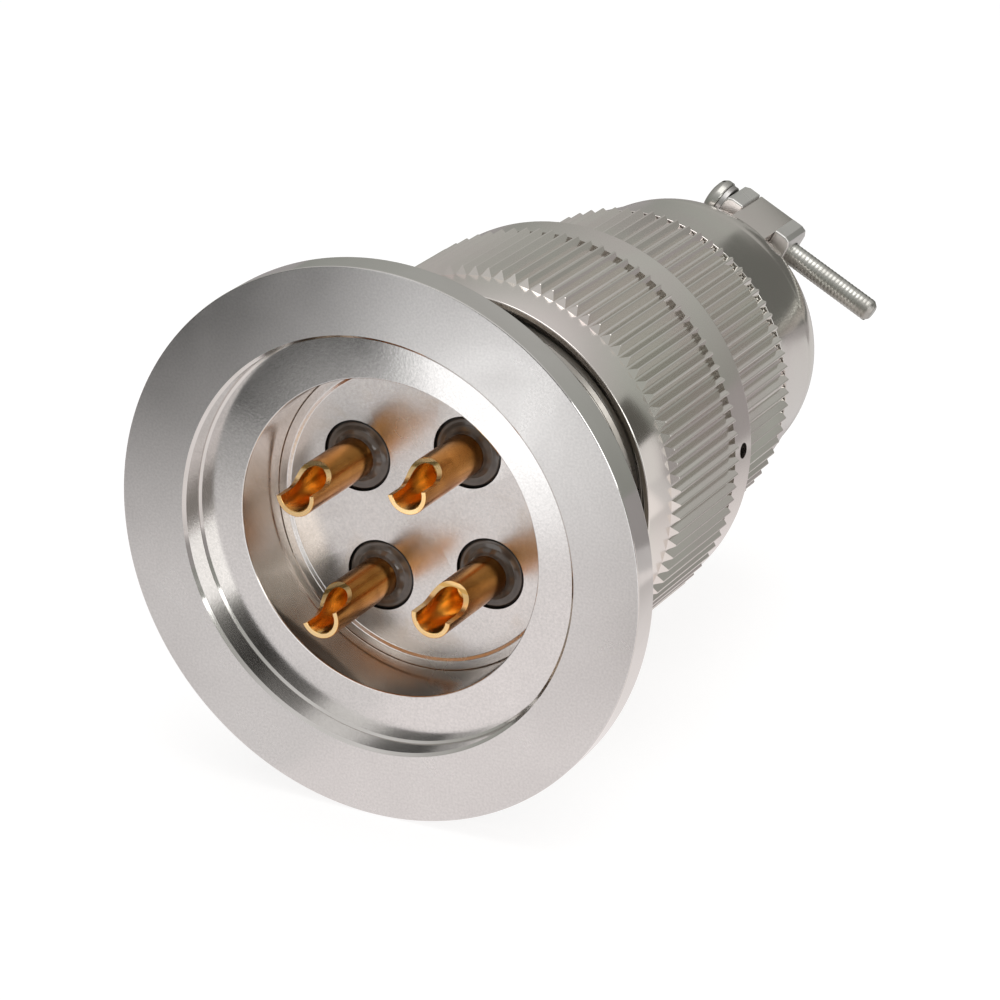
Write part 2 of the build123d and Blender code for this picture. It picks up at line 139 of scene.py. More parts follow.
# %% Paint the tent
tent = bpy.data.worlds.new("light tent")
bpy.context.scene.world = tent
nodes, links = shader_nodes(tent)
place = nodes.new("ShaderNodeTexCoord")
split = nodes.new("ShaderNodeSeparateXYZ")
tent_tone = tone_ramp(nodes, [(0.0, (0.30, 0.305, 0.28)), (0.38, (0.42, 0.425, 0.40)),
                              (0.62, (0.52, 0.515, 0.50)), (0.80, (0.72, 0.71, 0.70)),
                              (1.0, (0.84, 0.83, 0.82))])
rays = nodes.new("ShaderNodeLightPath")
seen = tone_mix(nodes, B=(1, 1, 1))
glow = nodes.new("ShaderNodeBackground")
sky = nodes.new("ShaderNodeOutputWorld")
links.new(place.outputs["Generated"], split.inputs[0])
links.new(split.outputs["Z"], tent_tone.inputs[0])
links.new(rays.outputs["Is Camera Ray"], seen.inputs["Factor"])
links.new(tent_tone.outputs["Color"], seen.inputs["A"])
links.new(seen.outputs["Result"], glow.inputs["Color"])
links.new(glow.outputs[0], sky.inputs[0])


# %% Lay the table
def flat_sheet(name, corners):
    """One flat face from its corners in millimetres."""
    bm = bmesh.new()
    bm.faces.new([bm.verts.new(Vector(corner) * mm) for corner in corners])
    mesh = bpy.data.meshes.new(name)
    bm.to_mesh(mesh)
    bm.free()
    sheet = bpy.data.objects.new(name, mesh)
    bpy.context.scene.collection.objects.link(sheet)
    return sheet


table_height = -27.52
table_half = 3000
table = flat_sheet("table", [(-table_half, -table_half, table_height),
                             (table_half, -table_half, table_height),
                             (table_half, table_half, table_height),
                             (-table_half, table_half, table_height)])
table_paper = bpy.data.materials.new("table paper")
nodes, links = shader_nodes(table_paper)
rays = nodes.new("ShaderNodeLightPath")
paper = nodes.new("ShaderNodeBsdfDiffuse")
paper.inputs["Color"].default_value = (0.86, 0.85, 0.85, 1)
place = nodes.new("ShaderNodeTexCoord")
away = vector_node(nodes, "LENGTH")
fade = range_node(nodes, (45 * mm, 150 * mm), (0.92, 0.36), smooth=True)
faded = vector_node(nodes, "SCALE")
faded.inputs[0].default_value = (1.0, 0.945, 0.935)
paper_tint = tone_mix(nodes, B=(1.26, 1.26, 1.26))
paper_glow = nodes.new("ShaderNodeEmission")
share = range_node(nodes, to_range=(1.0, 0.62))
camera_or_glossy = math_node(nodes, "MAXIMUM")
or_through = math_node(nodes, "MAXIMUM")
shown = math_node(nodes, "MULTIPLY")
mix = nodes.new("ShaderNodeMixShader")
out = nodes.new("ShaderNodeOutputMaterial")
links.new(place.outputs["Object"], away.inputs[0])
links.new(away.outputs["Value"], fade.inputs["Value"])
links.new(fade.outputs["Result"], faded.inputs["Scale"])
links.new(rays.outputs["Is Camera Ray"], paper_tint.inputs["Factor"])
links.new(faded.outputs[0], paper_tint.inputs["A"])
links.new(paper_tint.outputs["Result"], paper_glow.inputs["Color"])
links.new(rays.outputs["Is Camera Ray"], share.inputs["Value"])
links.new(rays.outputs["Is Camera Ray"], camera_or_glossy.inputs[0])
links.new(rays.outputs["Is Glossy Ray"], camera_or_glossy.inputs[1])
links.new(camera_or_glossy.outputs[0], or_through.inputs[0])
links.new(rays.outputs["Is Transmission Ray"], or_through.inputs[1])
links.new(share.outputs["Result"], shown.inputs[0])
links.new(or_through.outputs[0], shown.inputs[1])
links.new(shown.outputs[0], mix.inputs[0])
links.new(paper.outputs[0], mix.inputs[1])
links.new(paper_glow.outputs[0], mix.inputs[2])
links.new(mix.outputs[0], out.inputs[0])
table.data.materials.append(table_paper)


# %% Set up the cards
def reflection_card(name, corners, colour, strength):
    """A card that only reflections see."""
    card = flat_sheet(name, corners)
    card_paint = bpy.data.materials.new(name)
    nodes, links = shader_nodes(card_paint)
    glow = nodes.new("ShaderNodeEmission")
    glow.inputs["Color"].default_value = (*colour, 1)
    glow.inputs["Strength"].default_value = strength
    out = nodes.new("ShaderNodeOutputMaterial")
    links.new(glow.outputs[0], out.inputs[0])
    card.data.materials.append(card_paint)
    card.visible_camera = False
    card.visible_diffuse = False
    card.visible_shadow = False
    card.visible_transmission = False


def upright(ends, low, high):
    """Corners of an upright card over a line between two (x, y) ends, between two heights."""
    first, last = ends
    return [(*first, low), (*last, low), (*last, high), (*first, high)]


def across(left, right, depth, low, high):
    """Corners of an upright card that stands square to the connector."""
    return upright([(left, depth), (right, depth)], low, high)


def lying(*corners):
    """Corners of a sheet that lies just above the table."""
    return [(*corner, table_height + sheet_gap) for corner in corners]


sheet_gap = 0.22
dark_shape = [(-110, -60, -18), (-48, -60, -18), (-48, -60, -9), (-34, -60, -9), (-34, -60, 40),
              (-110, -60, 40)]
door_line = [(135, 150), (168, 90)]
for card in [
        ("dark card", dark_shape, (0.9, 0.9, 0.85), 0.04),
        ("middle card", across(-110, -29, -61, -27, 40), (0.98, 0.97, 0.95), 0.44),
        ("pale card", across(-32, -8, -60, -24, 4), (1.0, 1.0, 1.0), 1.5),
        ("grey card", across(-8, 60, -60, -20, 4), (1.0, 0.98, 0.96), 0.60),
        ("streak card", across(16, 38, -59, -23, 5), (1.0, 1.0, 1.0), 1.7),
        ("eye card", across(-8, 30, -58, 8, 33), (1.0, 0.9, 0.8), 0.015),
        ("high card", across(-33, -10, -59, 14, 44), (1.0, 1.0, 1.0), 1.1),
        ("floor card", lying((-90, -90), (-12, -90), (-12, -4), (-90, -4)),
         (1.0, 0.96, 0.95), 0.80),
        ("floor shade", lying((2, -78), (32, -78), (32, -42), (2, -42)), (1.0, 0.90, 0.82), 0.22),
        ("side sheet", lying((64, -60), (300, -60), (300, 260), (150, 130), (64, 78)),
         (1.0, 0.94, 0.93), 0.94),
        ("edge sheet", lying((64, 78), (150, 130), (150, 165), (64, 92)), (1.0, 0.96, 0.96), 0.64),
        ("back sheet", lying((2, 106), (60, 106), (60, 270), (2, 270)), (1.0, 0.97, 0.96), 0.66),
        ("door card", upright(door_line, 22, 84), (1.0, 0.95, 0.85), 0.10),
        ("sill card", upright(door_line, -27, 22), (1.0, 0.96, 0.95), 0.76),
        ("back card", across(0, 72, 200, -14, 62), (1.0, 1.0, 0.92), 0.14),
        ("window card", upright([(190, -60), (190, 80)], -20, 90), (1.0, 1.0, 1.0), 1.1)]:
    reflection_card(*card)

# %% [markdown]
# ## Lamps
#
# Two large soft lamps stand in for the windows of the tent. Their size keeps the shadow on the
# table soft, and their power is low, because the tent already gives most of the light.

# %% Hang the lamps
def soft_lamp(name, place, aim, width, watts):
    """A square area lamp at a place in millimetres, turned to face another place."""
    lamp = bpy.data.objects.new(name, bpy.data.lights.new(name, "AREA"))
    bpy.context.scene.collection.objects.link(lamp)
    lamp.data.size = width * mm
    lamp.data.energy = watts
    lamp.location = Vector(place) * mm
    lamp.rotation_euler = (Vector(aim) - Vector(place)).to_track_quat("-Z", "Y").to_euler()


soft_lamp("overhead lamp", (60, 20, 420), (0, 30, 0), 320, 0.55)
soft_lamp("side lamp", (330, -180, 160), (0, 20, 0), 180, 0.25)
print(len(bpy.data.lights), "lamps")

# %% [markdown]
# ## Shared surface effects
#
# Three effects come back in most finishes, so each is a node group with its own sockets. Turned
# rings are the fine lines that a lathe tool leaves: noise that changes with the distance from the
# axis and along it, but not round it. Grain is the tiny speckle of a blasted or moulded surface.
# Clouds are the slow changes of tone that handling and plating leave.

# %% Build the effect groups
def start_group(name, inputs):
    """A node group with value inputs (name, default) and one value output named Amount."""
    group = bpy.data.node_groups.new(name, "ShaderNodeTree")
    for label, default in inputs:
        kind = "NodeSocketVector" if isinstance(default, tuple) else "NodeSocketFloat"
        group.interface.new_socket(label, in_out="INPUT", socket_type=kind).default_value = default
    group.interface.new_socket("Amount", in_out="OUTPUT", socket_type="NodeSocketFloat")
    return group, group.nodes.new("NodeGroupInput"), group.nodes.new("NodeGroupOutput")


turned_rings, given, result = start_group(
    "turned rings", [("Centre", (0.0, 0.0, 0.0)), ("Fineness", 4000.0), ("Breakup", 0.25)])
nodes, links = turned_rings.nodes, turned_rings.links
place = nodes.new("ShaderNodeTexCoord")
shift = vector_node(nodes, "SUBTRACT")
flatten = vector_node(nodes, "MULTIPLY", (1, 0, 1))
distance = vector_node(nodes, "LENGTH")
along = nodes.new("ShaderNodeSeparateXYZ")
pair = nodes.new("ShaderNodeCombineXYZ")
lines = nodes.new("ShaderNodeTexNoise")
lines.inputs["Detail"].default_value = 3
lines.inputs["Roughness"].default_value = 0.7
patches = nodes.new("ShaderNodeTexNoise")
patches.inputs["Scale"].default_value = 900
blend = nodes.new("ShaderNodeMix")
links.new(place.outputs["Object"], shift.inputs[0])
links.new(given.outputs["Centre"], shift.inputs[1])
links.new(shift.outputs[0], flatten.inputs[0])
links.new(flatten.outputs[0], distance.inputs[0])
links.new(shift.outputs[0], along.inputs[0])
links.new(distance.outputs["Value"], pair.inputs["X"])
links.new(along.outputs["Y"], pair.inputs["Y"])
links.new(pair.outputs[0], lines.inputs["Vector"])
links.new(given.outputs["Fineness"], lines.inputs["Scale"])
links.new(place.outputs["Object"], patches.inputs["Vector"])
links.new(given.outputs["Breakup"], blend.inputs["Factor"])
links.new(lines.outputs["Fac"], blend.inputs["A"])
links.new(patches.outputs["Fac"], blend.inputs["B"])
links.new(blend.outputs["Result"], result.inputs["Amount"])

grain, given, result = start_group("grain", [("Scale", 6000.0)])
nodes, links = grain.nodes, grain.links
place = nodes.new("ShaderNodeTexCoord")
speckle = nodes.new("ShaderNodeTexNoise")
speckle.inputs["Detail"].default_value = 2
links.new(place.outputs["Object"], speckle.inputs["Vector"])
links.new(given.outputs["Scale"], speckle.inputs["Scale"])
links.new(speckle.outputs["Fac"], result.inputs["Amount"])

clouds, given, result = start_group("clouds", [("Scale", 120.0), ("Low", 0.35), ("High", 0.65)])
nodes, links = clouds.nodes, clouds.links
place = nodes.new("ShaderNodeTexCoord")
drift = nodes.new("ShaderNodeTexNoise")
drift.inputs["Detail"].default_value = 4
drift.inputs["Distortion"].default_value = 0.6
window = range_node(nodes)
links.new(place.outputs["Object"], drift.inputs["Vector"])
links.new(given.outputs["Scale"], drift.inputs["Scale"])
links.new(drift.outputs["Fac"], window.inputs["Value"])
links.new(given.outputs["Low"], window.inputs["From Min"])
links.new(given.outputs["High"], window.inputs["From Max"])
links.new(window.outputs["Result"], result.inputs["Amount"])
print("effect groups:", turned_rings.name, grain.name, clouds.name)

# %% [markdown]
# ## Finishes
#
# Every finish starts from the same few lines: a base tone that clouds shift towards a second
# tone, flecks over both, a roughness that changes with the same clouds, and a bump from rings or
# grain. What differs from metal to rubber is in the numbers. Metal is set on the shader itself,
# because it is the same all over a piece.
#
# Gold needs three tones of one plate: a darker one for the pins' outsides, which is painted shade,
# a brighter one for the drilled cups, and a pale one for the milled edges, a painted highlight.

# %% A helper for finishes
def place_group(nodes, group, **values):
    """Put a node group in a material with its own values."""
    node = nodes.new("ShaderNodeGroup")
    node.node_tree = group
    for label, value in values.items():
        node.inputs[label].default_value = value
    return node


def finish(name, tone, second, rough, rough_second, metal=1.0, cloud_scale=120.0,
           bump=grain, bump_depth=0.004, fleck=0.0, **bump_values):
    """A finish of two tones and two roughnesses, mixed by clouds, with flecks and a fine bump."""
    material = bpy.data.materials.new(name)
    nodes, links = shader_nodes(material)
    shader = nodes.new("ShaderNodeBsdfPrincipled")
    shader.inputs["Metallic"].default_value = metal
    cloud = place_group(nodes, clouds, Scale=cloud_scale)
    tones = tone_mix(nodes, A=tone, B=second)
    flecks = place_group(nodes, grain, Scale=4200.0)
    strength = range_node(nodes, (0.3, 0.7), (1 - fleck, 1 + fleck))
    flecked = vector_node(nodes, "SCALE")
    gloss = range_node(nodes, to_range=(rough, rough_second))
    out = nodes.new("ShaderNodeOutputMaterial")
    links.new(cloud.outputs[0], tones.inputs["Factor"])
    links.new(tones.outputs["Result"], flecked.inputs[0])
    links.new(flecks.outputs[0], strength.inputs["Value"])
    links.new(strength.outputs["Result"], flecked.inputs["Scale"])
    links.new(flecked.outputs[0], shader.inputs["Base Color"])
    links.new(cloud.outputs[0], gloss.inputs["Value"])
    links.new(gloss.outputs["Result"], shader.inputs["Roughness"])
    links.new(shader.outputs[0], out.inputs[0])
    if bump:
        relief = place_group(nodes, bump, **bump_values)
        raised = nodes.new("ShaderNodeBump")
        raised.inputs["Strength"].default_value = 1.0
        raised.inputs["Distance"].default_value = bump_depth * mm
        links.new(relief.outputs[0], raised.inputs["Height"])
        links.new(raised.outputs[0], shader.inputs["Normal"])
    return material


# %% Mix the finishes
flange_steel = finish("satin turned steel", (0.72, 0.707, 0.698), (0.685, 0.67, 0.662), 0.27, 0.33,
                      cloud_scale=90, fleck=0.07, Scale=3500.0)
recess_steel = finish("finely turned steel", (0.76, 0.745, 0.735), (0.73, 0.715, 0.705), 0.15, 0.20,
                      cloud_scale=90, fleck=0.06, bump_depth=0.003, Scale=3500.0)
# Painted shade: a darker, brownish steel for the bore's wall in front of the header.
bore_shade_steel = finish("brownish bore steel for painted shade", (0.72, 0.66, 0.60), (0.60, 0.53, 0.46), 0.08, 0.13,
                      cloud_scale=130, bump=turned_rings, bump_depth=0.003, Fineness=2600.0,
                      Breakup=0.15)
# Painted shade: a darker steel for the receptacle's outside behind the flange and for the walls
# where the coupling nut's knurl grooves end.
painted_shade_steel = finish("dark steel for painted shade", (0.44, 0.42, 0.39), (0.36, 0.335, 0.30), 0.25, 0.36,
                     cloud_scale=200)
bore_steel = finish("turned bore steel", (0.74, 0.72, 0.70), (0.68, 0.66, 0.635), 0.07, 0.11,
                    cloud_scale=110, bump=turned_rings, bump_depth=0.002, Fineness=2600.0,
                    Breakup=0.15)
bright_nickel = finish("bright nickel plate", (0.80, 0.785, 0.735), (0.79, 0.735, 0.71), 0.12, 0.19,
                       cloud_scale=70, bump=turned_rings, bump_depth=0.0015, Fineness=3000.0)
clamp_nickel = finish("clamp nickel plate", (0.74, 0.73, 0.71), (0.66, 0.65, 0.63), 0.24, 0.34,
                      cloud_scale=220, bump_depth=0.006)
screw_steel = finish("plated screw steel", (0.54, 0.54, 0.51), (0.42, 0.41, 0.38), 0.20, 0.34,
                     cloud_scale=500)
gold_plate = finish("gold plate", (0.98, 0.66, 0.26), (0.86, 0.50, 0.16), 0.17, 0.30,
                    cloud_scale=260, Scale=2500.0)
# Painted shade: a darker gold for the pins' outsides.
shaded_gold = finish("gold, painted shade", (0.66, 0.30, 0.07), (0.50, 0.21, 0.04), 0.16, 0.26,
                   cloud_scale=300, bump_depth=0.003, Scale=2500.0)
# Painted highlight: a pale gold for the milled edges round the cups.
highlighted_gold = finish("gold, painted highlight", (1.0, 0.72, 0.38), (0.95, 0.62, 0.28), 0.22, 0.32,
                     cloud_scale=300, bump_depth=0.003, Scale=2500.0)
spring_steel = finish("spring steel", (0.50, 0.49, 0.48), (0.36, 0.35, 0.34), 0.30, 0.42,
                      cloud_scale=300)
black_rubber = finish("black rubber", (0.022, 0.022, 0.022), (0.035, 0.034, 0.033), 0.55, 0.7,
                      metal=0.0, cloud_scale=150, bump_depth=0.01, Scale=3000.0)
hard_plastic = finish("hard plastic", (0.035, 0.035, 0.036), (0.05, 0.05, 0.05), 0.35, 0.45,
                      metal=0.0)
soft_silicone = finish("soft silicone", (0.33, 0.05, 0.03), (0.27, 0.04, 0.025), 0.5, 0.6,
                       metal=0.0, bump_depth=0.006)
washer_plastic = finish("washer plastic", (0.82, 0.82, 0.78), (0.74, 0.74, 0.70), 0.35, 0.45,
                        metal=0.0)
print(len(bpy.data.materials), "finishes so far")

# %% [markdown]
# ## The steel header
#
# The header's face is ground steel that was in the furnace when the glass was fused. It kept a
# faint straw tint near the beads, so this finish mixes a third tone by the distance from a
# circle just outside the pins', broken up by clouds.

# %% Mix the header's finish
pin_circle = 8.58
straw_circle = pin_circle + 2.0
header_steel = finish("fired header steel", (0.775, 0.748, 0.732), (0.74, 0.705, 0.685), 0.20, 0.28,
                      cloud_scale=160, fleck=0.06, bump=turned_rings, bump_depth=0.0015,
                      Fineness=3500.0, Breakup=0.6)
nodes, links = header_steel.node_tree.nodes, header_steel.node_tree.links
shader = nodes["Principled BSDF"]
plain_tone = shader.inputs["Base Color"].links[0].from_socket
place = nodes.new("ShaderNodeTexCoord")
across_axis = vector_node(nodes, "MULTIPLY", (1, 0, 1))
from_axis = vector_node(nodes, "LENGTH")
off_circle = math_node(nodes, "SUBTRACT", straw_circle * mm)
size_only = math_node(nodes, "ABSOLUTE")
near_circle = range_node(nodes, (4.5 * mm, 0.5 * mm), smooth=True)
patchy = place_group(nodes, clouds, Scale=170.0, Low=0.5, High=0.68)
amount = math_node(nodes, "MULTIPLY")
weaker = math_node(nodes, "MULTIPLY", 0.45)
straw = tone_mix(nodes, B=(0.66, 0.52, 0.36))
links.new(place.outputs["Object"], across_axis.inputs[0])
links.new(across_axis.outputs[0], from_axis.inputs[0])
links.new(from_axis.outputs["Value"], off_circle.inputs[0])
links.new(off_circle.outputs[0], size_only.inputs[0])
links.new(size_only.outputs[0], near_circle.inputs["Value"])
links.new(near_circle.outputs["Result"], amount.inputs[0])
links.new(patchy.outputs[0], amount.inputs[1])
links.new(amount.outputs[0], weaker.inputs[0])
links.new(weaker.outputs[0], straw.inputs["Factor"])
links.new(plain_tone, straw.inputs["A"])
links.new(straw.outputs["Result"], shader.inputs["Base Color"])

# %% [markdown]
# ## Dark fused glass
#
# The beads are a dark brownish grey glass, so dark that almost no light passes. Faint rings round
# each pin show how the glass flowed, so its tone follows the distance from its own pin.

# %% Mix the glass
pin_angles = [56.5 + 90 * n for n in range(4)]
pin_centres = [Vector((pin_circle * cos(radians(a)), 0, pin_circle * sin(radians(a)))) * mm
               for a in pin_angles]


def bead_glass(number, centre):
    """Dark glass whose tone runs in rings round one pin."""
    material = bpy.data.materials.new(f"dark fused glass {number}")
    nodes, links = shader_nodes(material)
    shader = nodes.new("ShaderNodeBsdfPrincipled")
    shader.inputs["Roughness"].default_value = 0.13
    shader.inputs["IOR"].default_value = 1.52
    shader.inputs["Coat Weight"].default_value = 0.5
    flow = place_group(nodes, turned_rings, Centre=tuple(centre), Fineness=900.0, Breakup=0.3)
    tones = tone_ramp(nodes, [(0.35, (0.078, 0.058, 0.045)), (0.65, (0.185, 0.146, 0.120))])
    out = nodes.new("ShaderNodeOutputMaterial")
    links.new(flow.outputs[0], tones.inputs[0])
    links.new(tones.outputs["Color"], shader.inputs["Base Color"])
    links.new(shader.outputs[0], out.inputs[0])
    return material


print("pins at", [tuple(round(value / mm, 2) for value in centre) for centre in pin_centres])

# %% [markdown]
# ## How the turned pieces are made
#
# A lathe turns a bar against a tool that follows an outline. Blender's spin does the same: half
# the outline is drawn once as a flat face, its corners are rounded, and its edge is spun round
# the axis. Corners that stay sharp are named by their place in the outline, counted from 0. Many
# steps keep the rims smooth close up. Each finished piece rides on a body, and the solids it
# stands for are hidden.

# %% Helpers for turned pieces
def add_outline(bm, points, rounding=0.12, sharp=(), centre=Vector((0, 0, 0))):
    """Draw a closed (radius, depth) outline in millimetres and give back its edges."""
    verts = [bm.verts.new(Vector((radius, depth, 0)) * mm + centre) for radius, depth in points]
    before = set(bm.faces)
    bm.faces.new(verts)
    soft = [vert for number, vert in enumerate(verts) if number not in sharp]
    if rounding and soft:
        bmesh.ops.bevel(bm, geom=soft, offset=rounding * mm, offset_type="OFFSET", segments=3,
                        profile=0.5, affect="VERTICES", material=-1)
    face = next(face for face in bm.faces if face not in before)
    edges = list(face.edges)
    bmesh.ops.delete(bm, geom=[face], context="FACES_ONLY")
    return edges


def spin_outline(bm, points, steps, rounding=0.12, sharp=(), centre=Vector((0, 0, 0))):
    """Turn a closed outline about the line along Y through a centre."""
    edges = add_outline(bm, points, rounding, sharp, centre)
    on_axis = [edge for edge in edges
               if all(abs(vert.co.x - centre.x) < 0.001 * mm for vert in edge.verts)]
    bmesh.ops.delete(bm, geom=on_axis, context="EDGES")
    edges = [edge for edge in edges if edge.is_valid]
    verts = list({vert for edge in edges for vert in edge.verts})
    bmesh.ops.spin(bm, geom=verts + edges, cent=centre, axis=(0, 1, 0), dvec=(0, 0, 0),
                   angle=2 * pi, steps=steps, use_merge=True, use_normal_flip=False,
                   use_duplicate=False)


def off_axis(face, centre=Vector((0, 0, 0))):
    """How far a face's middle lies from a line along the connector, in millimetres."""
    way = face.calc_center_median() - centre
    return math.hypot(way.x, way.z) / mm


def finish_piece(bm, name, material, body, replaced, crease=10, others=()):
    """Close a bmesh and make it a piece that rides on a body and stands for its solids.

    Others are further finishes, each with a test that says which faces have it.
    """
    bmesh.ops.remove_doubles(bm, verts=bm.verts[:], dist=0.0005 * mm)
    bmesh.ops.dissolve_degenerate(bm, edges=bm.edges[:], dist=0.0002 * mm)
    bmesh.ops.recalc_face_normals(bm, faces=bm.faces[:])
    for number, (other, chosen) in enumerate(others, 1):
        for face in bm.faces:
            if chosen(face):
                face.material_index = number
    mesh = bpy.data.meshes.new(name)
    bm.to_mesh(mesh)
    bm.free()
    mesh.shade_smooth()
    mesh.set_sharp_from_angle(angle=radians(crease))
    for paint in [material] + [other for other, chosen in others]:
        mesh.materials.append(paint)
    piece = bpy.data.objects.new(name, mesh)
    bpy.context.scene.collection.objects.link(piece)
    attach(piece, body)
    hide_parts(*replaced)
    print(name, len(mesh.polygons), "faces")


# %% [markdown]
# ## Vacuum flange
#
# This is the piece nearest the eye: a thin rim with a sloping back for the clamp, a shallow
# recess for the centring ring, and a bore down to the header. A rounding of about a tenth of a
# millimetre on its outer corners gives the bright hairline that real turned edges show. The
# recess's corners are small flat chamfers, so that its walls mirror the cards without bending.

# %% Turn the flange
flange_radius = 27.5
rim_back = 3.1
neck_radius = 18.2
recess_radius = 20.6
recess_depth = 2.8
mouth = 0.3  # chamfer at the recess's mouth
foot = 0.22  # sloping corner at the recess's foot
bore_radius = 15.84
header_back = 15.0
taper_slope = 0.26795  # tangent of 15 degrees
taper_foot = rim_back + (flange_radius - neck_radius) * taper_slope
bm = bmesh.new()
spin_outline(bm, [(recess_radius + mouth, 0), (flange_radius, 0), (flange_radius, rim_back),
                  (neck_radius, taper_foot), (neck_radius, header_back),
                  (bore_radius, header_back), (bore_radius, recess_depth),
                  (recess_radius - foot, recess_depth), (recess_radius, recess_depth - foot),
                  (recess_radius, mouth)], 256, rounding=0.12, sharp=(0, 4, 5, 7, 8, 9))
# The bore's wall in front of the header gets the darker brownish steel: painted shade in the bore.
finish_piece(bm, "turned_flange", flange_steel, "feedthrough",
             ["vacuum_flange"],
             others=[(recess_steel, lambda face: off_axis(face) < recess_radius),
                     (bore_steel, lambda face: abs(face.normal.y) < 0.9),
                     (bore_shade_steel, lambda face: abs(face.normal.y) < 0.9
                      and off_axis(face) < bore_radius + 0.1)])

# %% [markdown]
# ## Header and receptacle
#
# A disc closes the bore: its rim is a slightly raised weld ring. Behind it the same piece
# carries on as the receptacle, a threaded shell that the plug screws on. The disc's four holes
# for the beads are cut with a boolean, which keeps them exactly round. The thread is a ridge
# that climbs as it is spun, the same way a tap climbs.

# %% Helper for screw threads
def add_thread(bm, crest, depth, pitch, start, end, starts=1, steps=72, rise=0.15):
    """Wind V ridges of a pitch in millimetres round the axis, with several starts if asked.

    The starts are spaced evenly round the axis. Each ridge rises from the core in its first
    part of a turn and sinks back in its last.
    """
    lead = pitch * starts
    turns = (end - start - pitch) / lead
    for number in range(starts):
        before = set(bm.verts)
        ridge = [bm.verts.new(Vector((crest - depth, start, 0)) * mm),
                 bm.verts.new(Vector((crest, start + 0.44 * pitch, 0)) * mm),
                 bm.verts.new(Vector((crest, start + 0.56 * pitch, 0)) * mm),
                 bm.verts.new(Vector((crest - depth, start + pitch, 0)) * mm)]
        edges = list(bm.faces.new(ridge).edges)
        count = max(8, round(turns * steps))
        climb = Vector((0, turns * lead * mm / count, 0))
        last = bmesh.ops.spin(bm, geom=ridge + edges, cent=(0, 0, 0), axis=(0, 1, 0),
                              dvec=climb, angle=2 * pi * turns, steps=count, use_merge=False,
                              use_normal_flip=False, use_duplicate=False)["geom_last"]
        bmesh.ops.contextual_create(bm, geom=[part for part in last
                                              if isinstance(part, bmesh.types.BMEdge)])
        wound = [vert for vert in bm.verts if vert not in before]
        for vert in wound:
            if math.hypot(vert.co.x, vert.co.z) > (crest - depth / 2) * mm:
                turned = (vert.co.y / mm - start - 0.5 * pitch) / lead
                height = min(1, max(0.02, min(turned, turns - turned) / rise))
                radius = (crest - depth + depth * height) / crest
                vert.co = Vector((vert.co.x * radius, vert.co.y, vert.co.z * radius))
        bmesh.ops.rotate(bm, verts=wound, cent=(0, 0, 0),
                         matrix=Matrix.Rotation(2 * pi * number / starts, 3, "Y"))


def soften_edges(bm, width, segments, angle):
    """Round every edge at which two faces meet at more than an angle in degrees."""
    edges = [edge for edge in bm.edges if edge.calc_face_angle(0) > radians(angle)]
    bmesh.ops.bevel(bm, geom=edges, offset=width * mm, offset_type="OFFSET", segments=segments,
                    profile=0.5, affect="EDGES", material=-1, clamp_overlap=True)


def cut_away(blank, cutter):
    """Cut one closed bmesh out of another with an exact boolean and give back the rest."""
    holders = []
    for shape in (blank, cutter):
        bmesh.ops.remove_doubles(shape, verts=shape.verts[:], dist=0.0005 * mm)
        bmesh.ops.recalc_face_normals(shape, faces=shape.faces[:])
        mesh = bpy.data.meshes.new("blank")
        shape.to_mesh(mesh)
        shape.free()
        holders.append(bpy.data.objects.new("blank", mesh))
        bpy.context.scene.collection.objects.link(holders[-1])
    cut = holders[0].modifiers.new("cut", "BOOLEAN")
    cut.operation = "DIFFERENCE"
    cut.solver = "EXACT"
    cut.object = holders[1]
    view = bpy.context.evaluated_depsgraph_get()
    result = bmesh.new()
    result.from_mesh(holders[0].evaluated_get(view).data)
    for holder in holders:
        mesh = holder.data
        bpy.data.objects.remove(holder)
        bpy.data.meshes.remove(mesh)
    return result


# %% Turn the header and the receptacle
header_face = 9.6
header_step = 0.9
step_height = 0.25
step_slope = 0.3
shoulder_back = 16.2
shell_radius = 17.6
shell_bore = 15.0
shell_end = 32.0
thread_depth = 0.45
fine_pitch = 1.0
bead_radius = 3.6
bm = bmesh.new()
header_radius = bore_radius - 0.02
spin_outline(bm, [(0, header_face + step_height),
                  (header_radius - header_step - step_slope, header_face + step_height),
                  (header_radius - header_step, header_face), (header_radius, header_face),
                  (header_radius, header_back), (neck_radius, header_back),
                  (neck_radius, shoulder_back), (shell_radius - thread_depth, shoulder_back),
                  (shell_radius - thread_depth, shell_end), (shell_bore, shell_end),
                  (shell_bore, header_back), (0, header_back)],
             256, rounding=0.08, sharp=(0, 4, 7, 10, 11))
holes = bmesh.new()
for centre in pin_centres:
    bmesh.ops.create_cone(holes, cap_ends=True, segments=96, radius1=bead_radius * mm,
                          radius2=bead_radius * mm, depth=12 * mm,
                          matrix=Matrix.Translation(centre + Vector((0, 12.6 * mm, 0)))
                          @ Matrix.Rotation(pi / 2, 4, "X"))
keyway_width = 3.0
keyway_height = 2.2
for vert in bmesh.ops.create_cube(holes, size=1)["verts"]:
    vert.co = Vector((vert.co.x * keyway_width, 17.0 if vert.co.y < 0 else 33.0,
                      shell_bore + vert.co.z * keyway_height)) * mm
bm = cut_away(bm, holes)
add_thread(bm, shell_radius, thread_depth, fine_pitch, shoulder_back + 0.3, shell_end - 0.3,
           starts=3)
# The receptacle's outside gets the darker steel: painted shade in the gap behind the flange.
finish_piece(bm, "header_and_receptacle", header_steel, "feedthrough",
             ["receptacle_shell"],
             others=[(painted_shade_steel, lambda face: off_axis(face) > bore_radius + 0.2)])

# %% [markdown]
# ## Glass beads
#
# Each bead lies a little below the metal and climbs its pin in a small meniscus. A thin dark
# groove shows where glass meets metal, so the bead's outer corner is rounded down.

